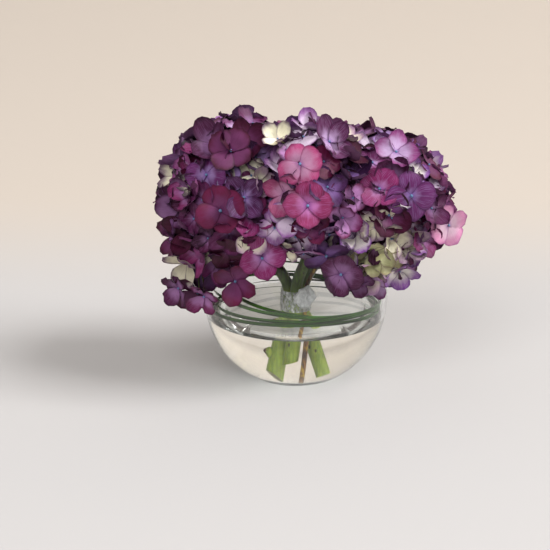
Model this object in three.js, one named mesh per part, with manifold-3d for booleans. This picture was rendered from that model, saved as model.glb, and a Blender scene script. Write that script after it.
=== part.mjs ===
// Hydrangeas in a bubble bowl: three cut flower heads on short stems, bound with clear film, standing in
// water in a round glass bowl, with long grass blades coiled inside the glass.
//
// Units are millimetres, +Z is up, and the origin is the middle of the bowl's base, on the surface that
// it stands on. -Y is the front. Each head is a stem that forks into rays. Each ray ends in a floret
// cluster: a small knob with six pedicels, each of which carries one four-lobed floret.

import * as THREE from "three";
import { ConvexGeometry } from "three/addons/geometries/ConvexGeometry.js";
import { mergeVertices } from "three/addons/utils/BufferGeometryUtils.js";
import Module from "manifold-3d";

const wasm = await Module();
wasm.setup();

// ---------------------------------------------------------------------------- driving dimensions

const GAP = 0.3; // air between neighbouring pieces

const BOWL_RADIUS = 76.5; // outside of the glass, at its widest
const BASE_RADIUS = 38;
const MOUTH_RADIUS = 50; // middle of the rim
const BOWL_WALL = 3;
const BOWL_FLOOR = 5;
const BOWL_FACETS = 36;
const BOWL_STEPS = 7; // facets from the foot up to the mouth
const FACET_SAG = 1.2; // how far the glass's flat facets may stand inside its true round

const WATER_DEPTH = 47.8;

const STEM_RADIUS = 4.8;
const TWIG_RADIUS = 1.65;
const CROWN_RADIUS = 7; // the swelling where a stem forks into rays
const RAY_RADIUS = 1.3;

const FILM_ABOVE_WATER = 2.4;
const FILM_HEIGHT = 18;
const FILM_SLACK = 0.9;
const FILM_THICKNESS = 0.8;
const KNOT_RADIUS = 6.5;

const BLADE_WIDTH = 4.6;
const BLADE_THICKNESS = 0.6;
const BLADE_STEPS = 30;

const CLUSTER_PITCH = 47; // least distance between the middles of two clusters
const CLUSTER_REACH = 25; // from a cluster's knob to its florets
const CLUSTER_SPREAD = 52; // degrees between the middle floret and the ring around it
const FLORETS_ROUND = 3; // florets in that ring
const KNOB_RADIUS = 2.4;
const PEDICEL_RADIUS = 0.9;
const FLORET_RADIUS = 19;
const FLORET_THICKNESS = 1.4;
const HEAD_OFF_BOWL = 13; // from the glass to the middle of a cluster that hangs beside it
const RAY_OFF_BOWL = 4; // from the glass to the middle of the knob that a ray carries

// Heights that follow from the bowl.
const BOWL_CENTRE_Z = Math.sqrt(BOWL_RADIUS ** 2 - BASE_RADIUS ** 2);
const MOUTH_Z = BOWL_CENTRE_Z + Math.sqrt(BOWL_RADIUS ** 2 - MOUTH_RADIUS ** 2);
const INNER_RADIUS = BOWL_RADIUS - BOWL_WALL;
const WATER_Z = BOWL_FLOOR + WATER_DEPTH;
const FILM_Z = WATER_Z + FILM_ABOVE_WATER;
const BOWL_CENTRE = new THREE.Vector3(0, 0, BOWL_CENTRE_Z);

// Each head: its middle and half-sizes out to the florets, given above the mouth; where its stem forks;
// the way it leans; the spin of its rings of clusters; and how low those clusters may hang.
const HEADS = [
  {
    name: "left",
    centre: [-46, 0, 22],
    radii: [64, 69, 74],
    crown: [-38, 0, 16],
    lean: [-0.42, 0, 0.9],
    spin: 30,
    lowest: -44,
  },
  {
    name: "middle",
    centre: [12, -22, 38],
    radii: [54, 58, 62],
    crown: [13, -23, 28],
    lean: [0, -0.3, 0.95],
    spin: 50,
    lowest: -10,
  },
  {
    name: "right",
    centre: [64, 4, 16],
    radii: [64, 66, 68],
    crown: [48, 3, 12],
    lean: [0.45, 0, 0.9],
    spin: 0,
    lowest: -44,
  },
];

// Rings of clusters on a head: degrees from its lean, and how many.
const CLUSTER_RINGS = [
  [0, 1],
  [47, 5],
  [100, 6],
];

// The florets that stand out at the front, by the place of their middle across and above the mouth, their
// radius, their spin, how cupped they are, and how far they stand out of the head.
const FRONT_FLORETS = [
  { head: 0, across: -41, above: 96, radius: 20, spin: 20, cup: 0.9, lift: 5 },
  { head: 0, across: -53, above: 81, radius: 19, spin: 60, cup: 0.3, lift: 3 },
  { head: 0, across: -74, above: 64, radius: 19, spin: 5, cup: 0.2, lift: 0 },
  { head: 0, across: -42, above: 49, radius: 19, spin: 40, cup: 0.4, lift: 2 },
  { head: 0, across: -61, above: 38, radius: 24, spin: 25, cup: 0.5, lift: 4 },
  { head: 0, across: -28, above: 0, radius: 20, spin: 10, cup: 0.2, lift: 4 },
  { head: 0, across: -84, above: -49, radius: 20, spin: 30, cup: 0.4, lift: 0 },
  { head: 0, across: -50, above: -34, radius: 18, spin: 65, cup: 0.3, lift: 0 },
  { head: 0, across: -98, above: -26, radius: 17, spin: 50, cup: 0.5, lift: 0 },
  { head: 1, across: 3, above: 77, radius: 19, spin: 35, cup: 0.2, lift: 5 },
  { head: 1, across: -12, above: 54, radius: 18, spin: 70, cup: 0.5, lift: 0 },
  { head: 1, across: 9, above: 47, radius: 20, spin: 0, cup: 0.3, lift: 6 },
  { head: 1, across: 28, above: 95, radius: 17, spin: 30, cup: 0.8, lift: 3 },
  { head: 1, across: 24, above: 0, radius: 20, spin: 50, cup: 0.1, lift: 3 },
  { head: 2, across: 41, above: 67, radius: 19, spin: 15, cup: 0.6, lift: 2 },
  { head: 2, across: 67, above: 53, radius: 18, spin: 45, cup: 0.3, lift: 0 },
  { head: 2, across: 92, above: 45, radius: 23, spin: 5, cup: 0.2, lift: 5 },
  { head: 2, across: 46, above: 15, radius: 15, spin: 30, cup: 0.8, lift: 1 },
  { head: 2, across: 61, above: -5, radius: 16, spin: 80, cup: 0.7, lift: 1 },
  { head: 2, across: 96, above: 3, radius: 16, spin: 40, cup: 0.5, lift: 0 },
  { head: 2, across: 126, above: 10, radius: 18, spin: 20, cup: 0.4, lift: 8 },
  { head: 2, across: 35, above: -29, radius: 16, spin: 75, cup: 0.3, lift: 0 },
  { head: 2, across: 86, above: -24, radius: 15, spin: 15, cup: 0.2, lift: 4 },
];

// Stems, and a twig, from foot to crown. The place where the film binds them is in stem radii, so that
// thicker stems stand further apart. Feet are above the bowl's floor, and the twig's top above the water.
// Each cut is the direction that keeps the stem above it.
const STEMS = [
  { head: 0, bound: [-1.375, 0.5], foot: [-11.5, 2, 11], cut: [0.6, 0.1, 0.8] },
  { head: 1, bound: [0.04, -1.25], foot: [-4, -9, 19.5], cut: [-0.25, 0, 1] },
  { head: 2, bound: [1.31, 0.58], foot: [18, -2, 11], cut: [-0.35, 0, 1] },
];
const TWIG = { bound: [1.6, -1.44], foot: [3, -19, 3], top: [17, -6, 42], cut: [1, 0, 0.8] };

// Grass blades: the middle and half-sizes of the loop that each follows, its height above the water, where
// it starts and how far it runs, in degrees anticlockwise from the right.
const BLADES = [
  { middle: [0, 5], radii: [71, 57], height: 2.9, start: 150, run: 330 },
  { middle: [2, 3], radii: [68, 60], height: 8.2, start: 185, run: 300 },
  { middle: [0, 0], radii: [70, 64], height: 13.5, start: 255, run: 320 },
  { middle: [6, -11], radii: [60, 54], height: 18.8, start: 160, run: 340 },
  { middle: [0, 0], radii: [71, 71], height: 19.6, start: 195, run: 300 },
];

// ---------------------------------------------------------------------------- colours and finishes

const finish = (color, roughness, more = {}) =>
  new THREE.MeshStandardMaterial({ color, roughness, metalness: 0, ...more });

const GLASS = finish(0xdfe8e6, 0.03, { transparent: true, opacity: 0.3 });
const WATER = finish(0xe6ece8, 0.02, { transparent: true, opacity: 0.35 });
const FILM = finish(0xe9ecec, 0.12, { transparent: true, opacity: 0.5 });
const STEM_GREEN = finish(0x7f9a35, 0.5);
const TWIG_BROWN = finish(0x7a5429, 0.7);
const BLADE_GREEN = finish(0x2f5a1d, 0.45);
const PETALS = {
  left: finish(0x7a2450, 0.6),
  middle: finish(0xa8386b, 0.6),
  right: finish(0x6c2a6a, 0.6),
};

// ---------------------------------------------------------------------------- geometry helpers

const radians = THREE.MathUtils.degToRad;
const point = (x, y, z) => new THREE.Vector3(x, y, z);
const aboveMouth = ([x, y, z]) => point(x, y, MOUTH_Z + z);

// A repeatable fraction from 0 to 1 for item i and trait k, so that no two florets are alike.
function vary(i, k) {
  const wave = Math.sin(i * 12.9898 + k * 78.233) * 43758.5453;
  return wave - Math.floor(wave);
}

// A closed three.js geometry as a manifold-3d solid, for joins and cuts.
function solidOf(geometry) {
  const bare = geometry.clone();
  bare.deleteAttribute("normal");
  bare.deleteAttribute("uv");
  const merged = mergeVertices(bare, 1e-4);
  return new wasm.Manifold(
    new wasm.Mesh({
      numProp: 3,
      vertProperties: merged.attributes.position.array,
      triVerts: new Uint32Array(merged.index.array),
      tolerance: 0.002, // joins and cuts leave no edge shorter than this
    }),
  );
}

// What is left of a solid once the loose trimmings are dropped.
function largestPiece(solid) {
  return solid.decompose().reduce((best, one) => (one.volume() > best.volume() ? one : best));
}

// A manifold-3d solid back as a three.js geometry.
function geometryOf(solid) {
  const mesh = solid.getMesh();
  const geometry = new THREE.BufferGeometry();
  geometry.setAttribute("position", new THREE.BufferAttribute(mesh.vertProperties, 3));
  geometry.setIndex(new THREE.BufferAttribute(mesh.triVerts, 1));
  geometry.computeVertexNormals();
  return geometry;
}

// A closed solid through rings of equally many points, with flat ends.
function loft(rings) {
  const around = rings[0].length;
  const positions = rings.flat().flatMap((p) => [p.x, p.y, p.z]);
  const faces = [];
  for (let r = 0; r + 1 < rings.length; r++) {
    for (let k = 0; k < around; k++) {
      const next = (k + 1) % around;
      const [a, b] = [r * around + k, r * around + next];
      faces.push(a, b, b + around, a, b + around, a + around);
    }
  }
  const last = (rings.length - 1) * around;
  for (let k = 1; k + 1 < around; k++) {
    faces.push(0, k + 1, k, last, last + k, last + k + 1);
  }
  const geometry = new THREE.BufferGeometry();
  geometry.setAttribute("position", new THREE.Float32BufferAttribute(positions, 3));
  geometry.setIndex(faces);
  return geometry;
}

// A round tube along a path.
function tube(path, radius, sides, steps) {
  const section = new THREE.Shape();
  for (let k = 0; k < sides; k++) {
    const angle = (2 * Math.PI * k) / sides;
    const [x, y] = [radius * Math.cos(angle), radius * Math.sin(angle)];
    if (k === 0) section.moveTo(x, y);
    else section.lineTo(x, y);
  }
  section.closePath();
  return new THREE.ExtrudeGeometry(section, { steps, extrudePath: path });
}

function ball(centre, radius, detail = 0) {
  return new THREE.IcosahedronGeometry(radius, detail).translate(centre.x, centre.y, centre.z);
}

function turned(profile) {
  const points = profile.map(([r, z]) => new THREE.Vector2(r, z));
  return new THREE.LatheGeometry(points, BOWL_FACETS).rotateX(Math.PI / 2);
}

// Points on a sphere about the bowl's centre, from one height to another, as radius and height.
function sphereProfile(radius, fromZ, toZ, steps) {
  const [from, to] = [fromZ, toZ].map((z) => Math.asin((z - BOWL_CENTRE_Z) / radius));
  return Array.from({ length: steps + 1 }, (_, k) => {
    const angle = from + ((to - from) * k) / steps;
    return [radius * Math.cos(angle), BOWL_CENTRE_Z + radius * Math.sin(angle)];
  });
}

// ---------------------------------------------------------------------------- bowl and water

const FOOT_CORNER = 1.5; // height of the rounded corner where the base meets the side
const MOUTH_INNER_Z = BOWL_CENTRE_Z + Math.sqrt(INNER_RADIUS ** 2 - (MOUTH_RADIUS - BOWL_WALL / 2) ** 2);

// The inside of the glass from the mouth down to the floor, drawn in by a margin.
function insideOfBowl(margin) {
  return sphereProfile(INNER_RADIUS - margin, MOUTH_INNER_Z, BOWL_FLOOR + FOOT_CORNER, BOWL_STEPS);
}

function bowl() {
  const outside = sphereProfile(BOWL_RADIUS, FOOT_CORNER, MOUTH_Z, BOWL_STEPS);
  const inside = insideOfBowl(0);
  const [rimR, rimZ] = outside.at(-1);
  const [floorR] = inside.at(-1);
  return turned([
    [0, 0],
    [BASE_RADIUS - FOOT_CORNER, 0],
    ...outside,
    [(rimR + inside[0][0]) / 2 + BOWL_WALL / 4, rimZ + BOWL_WALL / 3],
    [(rimR + inside[0][0]) / 2 - BOWL_WALL / 4, rimZ + BOWL_WALL / 4],
    ...inside,
    [floorR - FOOT_CORNER, BOWL_FLOOR],
    [0, BOWL_FLOOR],
  ]);
}

function water() {
  const side = insideOfBowl(GAP).reverse();
  const full = turned([
    [0, BOWL_FLOOR + GAP],
    [side[0][0] - FOOT_CORNER, BOWL_FLOOR + GAP],
    ...side,
    [0, MOUTH_INNER_Z],
  ]);
  return solidOf(full).trimByPlane([0, 0, -1], -WATER_Z);
}

// ---------------------------------------------------------------------------- stems

// Where the film holds a stem or the twig.
function boundAt({ bound: [x, y] }) {
  return [x * STEM_RADIUS, y * STEM_RADIUS];
}

function stemPath(spec, upper) {
  const [x, y] = boundAt(spec);
  const foot = spec.foot;
  return new THREE.CatmullRomCurve3(
    [
      point(foot[0], foot[1], BOWL_FLOOR + foot[2] - STEM_RADIUS),
      point(x, y, FILM_Z - 1),
      point(x, y, FILM_Z + FILM_HEIGHT + 1),
      ...upper,
    ],
    false,
    "centripetal",
  );
}

// A stem leans on the rim on its way out to the crown.
function pastTheMouth(crown) {
  const reach = Math.hypot(crown.x, crown.y);
  const room = MOUTH_RADIUS - BOWL_WALL - STEM_RADIUS - 4;
  const share = Math.min(1, room / reach) * 0.93;
  return point(crown.x * share, crown.y * share, MOUTH_Z - 6);
}

// Cuts a stem's foot off at a slant.
function slantCut(solid, foot, cut) {
  const normal = point(...cut).normalize();
  const at = point(foot[0], foot[1], BOWL_FLOOR + foot[2]);
  return solid.trimByPlane(normal.toArray(), normal.dot(at));
}

function stem(spec, radius) {
  const crown = aboveMouth(HEADS[spec.head].crown);
  const path = stemPath(spec, [pastTheMouth(crown), crown]);
  return slantCut(solidOf(tube(path, radius, 8, 12)), spec.foot, spec.cut);
}

// A stem with its crown and a ray to each cluster of its head, all of it grown by a margin.
function forkedStem(spec, clusters, margin) {
  const head = heads[spec.head];
  const crown = solidOf(ball(head.fork, CROWN_RADIUS + margin, 1));
  const rays = clusters.filter((c) => c.head === head).map((c) => ray(head.fork, c, margin));
  return rays.reduce((all, one) => all.add(one), stem(spec, STEM_RADIUS + margin).add(crown));
}

function twig(radius) {
  const path = stemPath(TWIG, [point(TWIG.top[0], TWIG.top[1], WATER_Z + TWIG.top[2])]);
  return slantCut(solidOf(tube(path, radius, 6, 5)), TWIG.foot, TWIG.cut);
}

// A ray arches over the glass from the crown and stops short of its cluster's knob.
function ray(crown, cluster, margin) {
  const way = cluster.hub.clone().sub(crown).normalize();
  const stop = cluster.hub.clone().addScaledVector(way, -(KNOB_RADIUS + GAP));
  const bow = crown.clone().lerp(stop, 0.5).add(point(0, 0, crown.distanceTo(stop) * 0.08));
  const path = new THREE.QuadraticBezierCurve3(crown, offTheBowl(bow, 5 * RAY_OFF_BOWL), stop);
  return solidOf(tube(path, RAY_RADIUS + margin, 3, 2));
}

// ---------------------------------------------------------------------------- film and knot

// The convex outline of all that the film holds, grown by a margin, as an upright prism.
function bundlePrism(margin, bottom, top) {
  const held = [...STEMS.map((s) => [boundAt(s), STEM_RADIUS]), [boundAt(TWIG), TWIG_RADIUS]];
  const corners = [];
  for (const [[x, y], radius] of held) {
    for (let k = 0; k < 16; k++) {
      const angle = (2 * Math.PI * (k + 0.5)) / 16;
      const r = radius + margin;
      for (const z of [bottom, top]) {
        corners.push(point(x + r * Math.cos(angle), y + r * Math.sin(angle), z));
      }
    }
  }
  return solidOf(new ConvexGeometry(corners));
}

function film() {
  const outer = bundlePrism(FILM_SLACK + FILM_THICKNESS, FILM_Z, FILM_Z + FILM_HEIGHT);
  const inner = bundlePrism(FILM_SLACK, FILM_Z - 1, FILM_Z + FILM_HEIGHT + 1);
  return outer.subtract(inner);
}

// The twisted ends of the film, gathered in a knot in front of the stems.
function knot() {
  const front = boundAt(STEMS[1])[1] - STEM_RADIUS - FILM_SLACK - FILM_THICKNESS - GAP;
  const centre = point(boundAt(TWIG)[0] - 2, front - KNOT_RADIUS * 0.75, FILM_Z + FILM_HEIGHT * 0.6);
  const lumps = [0, 1, 2, 3].map((k) => {
    const angle = radians(90 * k + 20);
    const out = KNOT_RADIUS * 0.55;
    return solidOf(
      ball(centre.clone().add(point(out * Math.cos(angle), 0, out * Math.sin(angle))), KNOT_RADIUS * 0.6),
    );
  });
  const core = solidOf(ball(centre, KNOT_RADIUS * 0.7, 0));
  const joined = lumps.reduce((all, lump) => all.add(lump), core);
  return joined.subtract(bundlePrism(FILM_SLACK + FILM_THICKNESS + GAP, 0, MOUTH_Z));
}

// ---------------------------------------------------------------------------- grass

// One blade: a thin leaf, upright against the inside of the glass, which narrows towards both ends.
function blade({ middle, radii, height, start, run }, index) {
  const rings = [];
  for (let k = 0; k <= BLADE_STEPS; k++) {
    const share = k / BLADE_STEPS;
    const angle = radians(start + run * share);
    const [cos, sin] = [Math.cos(angle), Math.sin(angle)];
    const z = WATER_Z + height + 0.25 * Math.sin(3 * angle + index);
    const wall = Math.sqrt(INNER_RADIUS ** 2 - (Math.abs(z - BOWL_CENTRE_Z) + BLADE_WIDTH / 2) ** 2);
    const room = wall - FACET_SAG - BLADE_THICKNESS - GAP;
    const loop = point(middle[0] + radii[0] * cos, middle[1] + radii[1] * sin, 0);
    const held = Math.min(loop.length(), room);
    const inner = loop.clone().setLength(held);
    const outer = loop.clone().setLength(held + BLADE_THICKNESS);
    const taper = Math.min(1, 0.5 + 6 * share) * Math.min(1, 0.25 + 2.4 * (1 - share));
    const half = (BLADE_WIDTH / 2) * taper;
    rings.push([
      point(inner.x, inner.y, z - half),
      point(inner.x, inner.y, z + half),
      point(outer.x, outer.y, z + half),
      point(outer.x, outer.y, z - half),
    ]);
  }
  return loft(rings);
}

// ---------------------------------------------------------------------------- where the clusters are

const rotated = (v, axis, degrees) => v.clone().applyAxisAngle(axis, radians(degrees));

// Any direction square to v.
function squareTo(v) {
  const aside = Math.abs(v.z) < 0.9 ? point(0, 0, 1) : point(1, 0, 0);
  return aside.cross(v).normalize();
}

// How far out p is in a head: 1 is on the surface through the florets.
function depthIn(head, p) {
  const q = p.clone().sub(head.middle).divide(head.half);
  return q.length();
}

// p moved straight towards or away from the head's middle, on to that surface.
function ontoHead(head, p) {
  return head.middle.clone().add(p.clone().sub(head.middle).divideScalar(depthIn(head, p)));
}

function normalAt(head, p) {
  return p.clone().sub(head.middle).divide(head.half).divide(head.half).normalize();
}

const heads = HEADS.map((head) => ({
  ...head,
  middle: aboveMouth(head.centre),
  half: point(...head.radii),
  fork: aboveMouth(head.crown),
}));

// Starts with rings of clusters on every head, then moves them until none crowds another, none lies
// inside another head, and those beside the bowl are clear of the glass.
function placeClusters() {
  const clusters = [];
  for (const head of heads) {
    const lean = point(...head.lean).normalize();
    const side = squareTo(lean);
    for (const [polar, count] of CLUSTER_RINGS) {
      for (let k = 0; k < count; k++) {
        const tipped = rotated(lean, side, polar);
        const way = rotated(tipped, lean, head.spin + polar + (360 * k) / count);
        clusters.push({ head, site: ontoHead(head, head.middle.clone().add(way)) });
      }
    }
  }
  for (let round = 0; round < 80; round++) {
    for (const [i, a] of clusters.entries()) {
      for (const b of clusters.slice(i + 1)) {
        const apart = a.site.clone().sub(b.site);
        const short = CLUSTER_PITCH - apart.length();
        if (short > 0) {
          apart.setLength(short * 0.3);
          a.site.add(apart);
          b.site.sub(apart);
        }
      }
    }
    for (const c of clusters) settle(c);
  }
  for (const c of clusters) {
    c.normal = normalAt(c.head, c.site);
    c.hub = offTheBowl(c.site.clone().addScaledVector(c.normal, -CLUSTER_REACH), RAY_OFF_BOWL);
  }
  return clusters;
}

// p, moved out from the bowl until it is at least a margin from the glass.
function offTheBowl(p, margin) {
  const away = p.clone().sub(BOWL_CENTRE);
  const near = Math.max(0, BOWL_RADIUS + margin - away.length());
  return p.add(away.setLength(near));
}

// Puts one cluster back on its head, out of the others, off the bowl and above its head's lowest height.
function settle(c) {
  for (const other of heads) {
    const inside = 1 - depthIn(other, c.site);
    if (other !== c.head && inside > 0) {
      const way = c.site.clone().sub(other.middle).normalize();
      c.site.addScaledVector(way, Math.min(4, inside * CLUSTER_PITCH));
    }
  }
  c.site.copy(ontoHead(c.head, c.site));
  c.site.z = Math.max(c.site.z, MOUTH_Z + c.head.lowest);
  offTheBowl(c.site, HEAD_OFF_BOWL);
}

// ---------------------------------------------------------------------------- florets

// Where each floret of each cluster is, which way it faces, and its own size, spin and cup.
function placeFlorets(clusters) {
  for (const [index, c] of clusters.entries()) {
    const side = squareTo(c.normal);
    c.florets = [];
    for (let k = 0; k <= FLORETS_ROUND; k++) {
      const seed = index * 8 + k;
      const spread = k === 0 ? 6 * vary(seed, 1) : CLUSTER_SPREAD + 10 * (vary(seed, 1) - 0.5);
      const round = (360 * k) / FLORETS_ROUND + 24 * (vary(seed, 2) - 0.5) + 40 * index;
      const way = rotated(rotated(c.normal, side, spread), c.normal, round);
      const reach = CLUSTER_REACH + 5 * (vary(seed, 3) - 0.5);
      const tip = rotated(way, squareTo(way), 30 * (vary(seed, 4) - 0.5));
      c.florets.push({
        centre: c.hub.clone().addScaledVector(way, reach),
        normal: tip.lerp(c.normal, 0.35).normalize(),
        radius: FLORET_RADIUS * (0.84 + 0.3 * vary(seed, 5)),
        spin: 90 * vary(seed, 6),
        cup: 0.1 + 0.7 * vary(seed, 7),
      });
    }
  }
}

// Gives the nearest free floret of the nearest cluster the place and shape of each front floret.
function placeFrontFlorets(clusters) {
  for (const f of FRONT_FLORETS) {
    const head = heads[f.head];
    const [x, z] = [f.across, MOUTH_Z + f.above];
    const flat = ((x - head.middle.x) / head.half.x) ** 2 + ((z - head.middle.z) / head.half.z) ** 2;
    const y = head.middle.y - head.half.y * Math.sqrt(Math.max(0, 1 - flat));
    const at = offTheBowl(point(x, y, z), HEAD_OFF_BOWL);
    const normal = normalAt(head, at);
    const cluster = nearest(clusters, (c) => c.site.distanceTo(at));
    const free = cluster.florets.filter((floret) => !floret.front);
    const floret = nearest(free, (one) => one.centre.distanceTo(at));
    Object.assign(floret, {
      front: true,
      centre: at.addScaledVector(normal, f.lift),
      normal,
      radius: f.radius,
      spin: f.spin,
      cup: f.cup,
    });
  }
}

function nearest(items, distance) {
  return items.reduce((best, item) => (distance(item) < distance(best) ? item : best));
}

// A floret with its pedicel: four kite-shaped lobes, thick in the middle and thin at the edge, and a
// square stalk from the underside to the cluster's knob.
function floret({ centre, normal, radius, spin, cup }, hub) {
  const u = rotated(squareTo(normal), normal, spin);
  const v = normal.clone().cross(u);
  const at = (angle, r, rise) =>
    centre
      .clone()
      .addScaledVector(u, r * Math.cos(radians(angle)))
      .addScaledVector(v, r * Math.sin(radians(angle)))
      .addScaledVector(normal, rise);
  const outline = [];
  const collar = [];
  for (let lobe = 0; lobe < 4; lobe++) {
    const axis = 90 * lobe;
    outline.push(at(axis - 45, radius * 0.42, radius * 0.05 * cup));
    outline.push(at(axis - 32, radius * 0.84, radius * 0.3 * cup));
    outline.push(at(axis, radius, radius * 0.34 * cup));
    outline.push(at(axis + 32, radius * 0.84, radius * 0.3 * cup));
    collar.push(at(axis - 45, PEDICEL_RADIUS, -FLORET_THICKNESS));
  }
  const stalk = hub.clone().sub(centre).normalize();
  const across = u.clone().addScaledVector(stalk, -u.dot(stalk)).normalize();
  const along = stalk.clone().cross(across).negate();
  const base = [0, 1, 2, 3].map((lobe) => {
    const angle = radians(90 * lobe - 45);
    return hub
      .clone()
      .addScaledVector(across, PEDICEL_RADIUS * Math.cos(angle))
      .addScaledVector(along, PEDICEL_RADIUS * Math.sin(angle));
  });
  const corners = [...outline, ...collar, ...base, centre];
  const [firstCollar, firstBase, top] = [16, 20, 24];
  const faces = [];
  for (let lobe = 0; lobe < 4; lobe++) {
    const [notch, left, tip, right] = [0, 1, 2, 3].map((k) => 4 * lobe + k);
    const end = (notch + 4) % 16;
    const here = firstCollar + lobe;
    const there = firstCollar + ((lobe + 1) % 4);
    const [low, lowNext] = [firstBase + lobe, firstBase + ((lobe + 1) % 4)];
    faces.push(top, notch, left, top, left, tip, top, tip, right, top, right, end);
    faces.push(here, left, notch, here, tip, left, here, there, tip);
    faces.push(there, right, tip, there, end, right);
    faces.push(here, low, lowNext, here, lowNext, there);
  }
  faces.push(firstBase, firstBase + 2, firstBase + 1, firstBase, firstBase + 3, firstBase + 2);
  const geometry = new THREE.BufferGeometry();
  const positions = corners.flatMap((p) => [p.x, p.y, p.z]);
  geometry.setAttribute("position", new THREE.Float32BufferAttribute(positions, 3));
  geometry.setIndex(faces);
  return solidOf(geometry);
}

// One cluster, trimmed half-way to each of its neighbours and clear of the bowl and other heads' stems.
function clusterSolid(cluster, clusters, keepClear) {
  const { x, y, z } = cluster.hub;
  let made = solidOf(new THREE.OctahedronGeometry(KNOB_RADIUS).translate(x, y, z));
  for (const one of cluster.florets) made = made.add(floret(one, cluster.hub));
  const site = (c) => c.site.clone().addScaledVector(c.normal, -CLUSTER_REACH / 3);
  const here = site(cluster);
  for (const other of clusters) {
    const apart = here.clone().sub(site(other));
    if (other === cluster || apart.length() > 3 * CLUSTER_PITCH) continue;
    const middle = here.clone().addScaledVector(apart, -0.5);
    const normal = apart.normalize();
    made = made.trimByPlane(normal.toArray(), normal.dot(middle) + GAP / 2);
  }
  return largestPiece(keepClear.reduce((left, room) => left.subtract(room), made));
}

// ---------------------------------------------------------------------------- the whole object

const object = new THREE.Group();

function place(name, geometry, material) {
  const mesh = new THREE.Mesh(geometry, material);
  mesh.name = name;
  object.add(mesh);
}

const clusters = placeClusters();
placeFlorets(clusters);
placeFrontFlorets(clusters);

place("vase_bowl", bowl(), GLASS);

let pool = water();
const rooms = new Map(); // what the clusters of every other head keep clear of
for (const spec of STEMS) {
  const head = heads[spec.head];
  pool = pool.subtract(stem(spec, STEM_RADIUS + GAP));
  rooms.set(head, forkedStem(spec, clusters, 2 * GAP));
  place(`${head.name}_head_stem`, geometryOf(forkedStem(spec, clusters, 0)), STEM_GREEN);
}
pool = pool.subtract(twig(TWIG_RADIUS + GAP));
place("water", geometryOf(pool), WATER);
place("woody_twig", geometryOf(twig(TWIG_RADIUS)), TWIG_BROWN);
place("stem_film", geometryOf(film()), FILM);
place("film_knot", geometryOf(knot()), FILM);

BLADES.forEach((spec, k) => place(`grass_blade_${k + 1}`, blade(spec, k), BLADE_GREEN));

// The space that the bowl takes, mouth and all, with a gap round it.
const bowlRoom = solidOf(
  turned([
    [0, -GAP],
    [BASE_RADIUS, -GAP],
    ...sphereProfile(BOWL_RADIUS + GAP, FOOT_CORNER, MOUTH_Z, BOWL_STEPS),
    [MOUTH_RADIUS, MOUTH_Z + BOWL_WALL],
    [0, MOUTH_Z + BOWL_WALL],
  ]),
);

const counts = {};
for (const c of clusters) {
  const name = c.head.name;
  counts[name] = (counts[name] ?? 0) + 1;
  const label = String(counts[name]).padStart(2, "0");
  const otherStems = [...rooms].filter(([head]) => head !== c.head).map(([, room]) => room);
  const solid = clusterSolid(c, clusters, [bowlRoom, ...otherStems]);
  place(`${name}_cluster_${label}`, geometryOf(solid), PETALS[name]);
}

export default object;
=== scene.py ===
"""Hydrangeas in a bubble bowl: three mophead hydrangeas on short stems, bound with clear film, standing in
water in a round glass bowl with grass blades coiled inside it. Lengths in the tables are millimetres."""

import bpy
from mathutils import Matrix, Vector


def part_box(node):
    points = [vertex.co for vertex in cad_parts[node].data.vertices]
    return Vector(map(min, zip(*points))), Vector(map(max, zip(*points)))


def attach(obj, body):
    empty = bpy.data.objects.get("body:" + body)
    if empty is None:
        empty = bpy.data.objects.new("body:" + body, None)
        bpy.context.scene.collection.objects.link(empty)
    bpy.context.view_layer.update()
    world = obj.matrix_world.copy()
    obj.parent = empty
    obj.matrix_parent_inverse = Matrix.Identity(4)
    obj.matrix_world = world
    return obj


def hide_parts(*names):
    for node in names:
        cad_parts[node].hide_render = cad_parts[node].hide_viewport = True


bl_info = {
    "name": "Hydrangeas in a Bubble Bowl",
    "version": (1, 0, 0),
    "blender": (4, 5, 0),
    "location": "View3D > Sidebar > Flowers",
    "description": "Builds the flower heads, stems, film, grass, water and glass around the packed model",
    "category": "Add Mesh",
}

import math

import bmesh
import bpy
from bpy.props import FloatProperty, FloatVectorProperty, IntProperty, PointerProperty
from mathutils import Matrix, Vector

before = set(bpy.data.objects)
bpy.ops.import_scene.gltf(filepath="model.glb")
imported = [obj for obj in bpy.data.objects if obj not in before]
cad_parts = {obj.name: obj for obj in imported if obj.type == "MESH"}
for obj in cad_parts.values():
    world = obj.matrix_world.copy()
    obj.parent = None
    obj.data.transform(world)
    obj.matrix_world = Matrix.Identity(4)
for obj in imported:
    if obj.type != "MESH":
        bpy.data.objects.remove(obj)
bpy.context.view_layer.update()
MM = 0.001
GOLDEN_ANGLE = 137.508  # degrees
RELAX_ROUNDS = 14
LOWEST_POLAR = 125  # degrees from a head's lean, past which it has no florets

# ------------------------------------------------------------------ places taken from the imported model

BOWL_LOW, BOWL_HIGH = (Vector(corner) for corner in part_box("vase_bowl"))
BOWL_RADIUS = (BOWL_HIGH.x - BOWL_LOW.x) / 2
WATER_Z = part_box("water")[1][2]
FILM_LOW, FILM_HIGH = (Vector(corner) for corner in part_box("stem_film"))
KNOT_LOW, KNOT_HIGH = (Vector(corner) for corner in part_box("film_knot"))
CLUSTER_NODES = sorted(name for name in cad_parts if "_cluster_" in name)

BASE_RADIUS = 38 * MM
MOUTH_RADIUS = 50 * MM
BOWL_CENTRE_Z = math.sqrt(BOWL_RADIUS**2 - BASE_RADIUS**2)
MOUTH_Z = BOWL_CENTRE_Z + math.sqrt(BOWL_RADIUS**2 - MOUTH_RADIUS**2)
BOWL_CENTRE = Vector((0, 0, BOWL_CENTRE_Z))
BOWL_FLOOR = 5 * MM

# ------------------------------------------------------------------ the flower heads, above the mouth

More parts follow.
